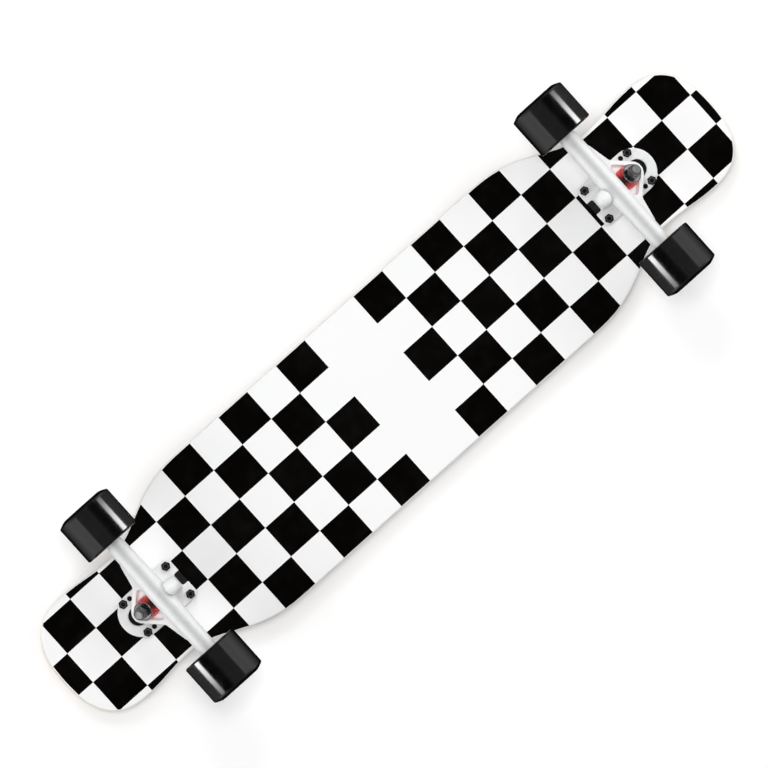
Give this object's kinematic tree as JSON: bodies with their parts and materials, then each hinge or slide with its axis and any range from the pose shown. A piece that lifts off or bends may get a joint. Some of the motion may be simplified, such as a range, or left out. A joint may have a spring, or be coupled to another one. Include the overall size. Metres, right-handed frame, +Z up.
{
  "type": "longboard skateboard",
  "caption": "Longboard skateboard: maple deck with wheel cut-outs and a black and white check underside, steerable white trucks and wide black wheels on ball bearings.",
  "frame": {"origin": "on the ground, below the middle of the deck, with the board on its wheels", "axes": "+X to the nose, +Y to the rider's left when facing the nose, +Z up"},
  "size_m": [0.965, 0.266, 0.1183],
  "materials": {
    "deck_maple": "white lacquer with a black check print below, clear maple plies at the edge",
    "grip_tape": "coarse black grit",
    "riser_rubber": "matt black",
    "truck_white": "cast, satin white powder coat",
    "pivot_urethane": "matt black",
    "bushing_red": "cast red urethane, satin",
    "washer_black": "blackened steel",
    "steel": "bright zinc plate",
    "black_steel": "black oxide",
    "nylon": "natural nylon",
    "shield_black": "black seal",
    "wheel_urethane": "cast black urethane, glossy",
    "core_plastic": "moulded black nylon"
  },
  "bodies": {
    "deck": {"deck": "deck_maple", "grip_tape": "grip_tape", "mounting_bolts": "black_steel", "mounting_nuts": "black_steel", "mounting_nut_inserts": "nylon", "kingpins": "steel", "kingpin_nuts": "steel", "kingpin_nut_inserts": "nylon", "front_riser_pad": "riser_rubber", "front_baseplate": "truck_white", "front_pivot_cup": "pivot_urethane", "front_board_bushing": "bushing_red", "front_road_bushing": "bushing_red", "front_board_washer": "washer_black", "front_road_washer": "washer_black", "rear_riser_pad": "riser_rubber", "rear_baseplate": "truck_white", "rear_pivot_cup": "pivot_urethane", "rear_board_bushing": "bushing_red", "rear_road_bushing": "bushing_red", "rear_board_washer": "washer_black", "rear_road_washer": "washer_black"},
    "front_hanger": {"front_hanger": "truck_white", "front_axle": "steel", "front_axle_nuts": "steel", "front_axle_nut_inserts": "nylon", "front_speed_rings": "steel", "front_bearing_inner_rings": "steel", "front_bearing_spacers": "steel"},
    "rear_hanger": {"rear_hanger": "truck_white", "rear_axle": "steel", "rear_axle_nuts": "steel", "rear_axle_nut_inserts": "nylon", "rear_speed_rings": "steel", "rear_bearing_inner_rings": "steel", "rear_bearing_spacers": "steel"},
    "front_left_wheel": {"front_left_wheel": "wheel_urethane", "front_left_wheel_core": "core_plastic", "front_left_bearing_outer_rings": "steel", "front_left_bearing_shields": "shield_black"},
    "front_left_ball_cages": {"front_left_bearing_balls": "steel", "front_left_bearing_cages": "nylon"},
    "front_right_wheel": {"front_right_wheel": "wheel_urethane", "front_right_wheel_core": "core_plastic", "front_right_bearing_outer_rings": "steel", "front_right_bearing_shields": "shield_black"},
    "front_right_ball_cages": {"front_right_bearing_balls": "steel", "front_right_bearing_cages": "nylon"},
    "rear_left_wheel": {"rear_left_wheel": "wheel_urethane", "rear_left_wheel_core": "core_plastic", "rear_left_bearing_outer_rings": "steel", "rear_left_bearing_shields": "shield_black"},
    "rear_left_ball_cages": {"rear_left_bearing_balls": "steel", "rear_left_bearing_cages": "nylon"},
    "rear_right_wheel": {"rear_right_wheel": "wheel_urethane", "rear_right_wheel_core": "core_plastic", "rear_right_bearing_outer_rings": "steel", "rear_right_bearing_shields": "shield_black"},
    "rear_right_ball_cages": {"rear_right_bearing_balls": "steel", "rear_right_bearing_cages": "nylon"}
  },
  "joints": [
    {"name": "front_steering", "type": "hinge", "parent": "deck", "child": "front_hanger", "pos_m": [0.3219, 0, 0.0259], "axis": [0.7071, 0, 0.7071], "range_deg": [-15, 15], "stiffness_Nm_per_rad": 80, "deforming": ["front_board_bushing", "front_road_bushing"]},
    {"name": "rear_steering", "type": "hinge", "parent": "deck", "child": "rear_hanger", "pos_m": [-0.3219, 0, 0.0259], "axis": [-0.7071, 0, 0.7071], "range_deg": [-15, 15], "stiffness_Nm_per_rad": 80, "deforming": ["rear_board_bushing", "rear_road_bushing"]},
    {"name": "front_left_spin", "type": "hinge", "parent": "front_hanger", "child": "front_left_wheel", "pos_m": [0.3375, 0.106, 0.035], "axis": [0, 1, 0], "continuous": true},
    {"name": "front_left_cage_spin", "type": "hinge", "parent": "front_hanger", "child": "front_left_ball_cages", "pos_m": [0.3375, 0.106, 0.035], "axis": [0, 1, 0], "continuous": true},
    {"name": "front_right_spin", "type": "hinge", "parent": "front_hanger", "child": "front_right_wheel", "pos_m": [0.3375, -0.106, 0.035], "axis": [0, 1, 0], "continuous": true},
    {"name": "front_right_cage_spin", "type": "hinge", "parent": "front_hanger", "child": "front_right_ball_cages", "pos_m": [0.3375, -0.106, 0.035], "axis": [0, 1, 0], "continuous": true},
    {"name": "rear_left_spin", "type": "hinge", "parent": "rear_hanger", "child": "rear_left_wheel", "pos_m": [-0.3375, 0.106, 0.035], "axis": [0, 1, 0], "continuous": true},
    {"name": "rear_left_cage_spin", "type": "hinge", "parent": "rear_hanger", "child": "rear_left_ball_cages", "pos_m": [-0.3375, 0.106, 0.035], "axis": [0, 1, 0], "continuous": true},
    {"name": "rear_right_spin", "type": "hinge", "parent": "rear_hanger", "child": "rear_right_wheel", "pos_m": [-0.3375, -0.106, 0.035], "axis": [0, 1, 0], "continuous": true},
    {"name": "rear_right_cage_spin", "type": "hinge", "parent": "rear_hanger", "child": "rear_right_ball_cages", "pos_m": [-0.3375, -0.106, 0.035], "axis": [0, 1, 0], "continuous": true}
  ],
  "couplings": [
    {"joint": "front_left_cage_spin", "follows": "front_left_spin", "ratio": 0.63},
    {"joint": "front_right_cage_spin", "follows": "front_right_spin", "ratio": 0.63},
    {"joint": "rear_left_cage_spin", "follows": "rear_left_spin", "ratio": 0.63},
    {"joint": "rear_right_cage_spin", "follows": "rear_right_spin", "ratio": 0.63}
  ]
}
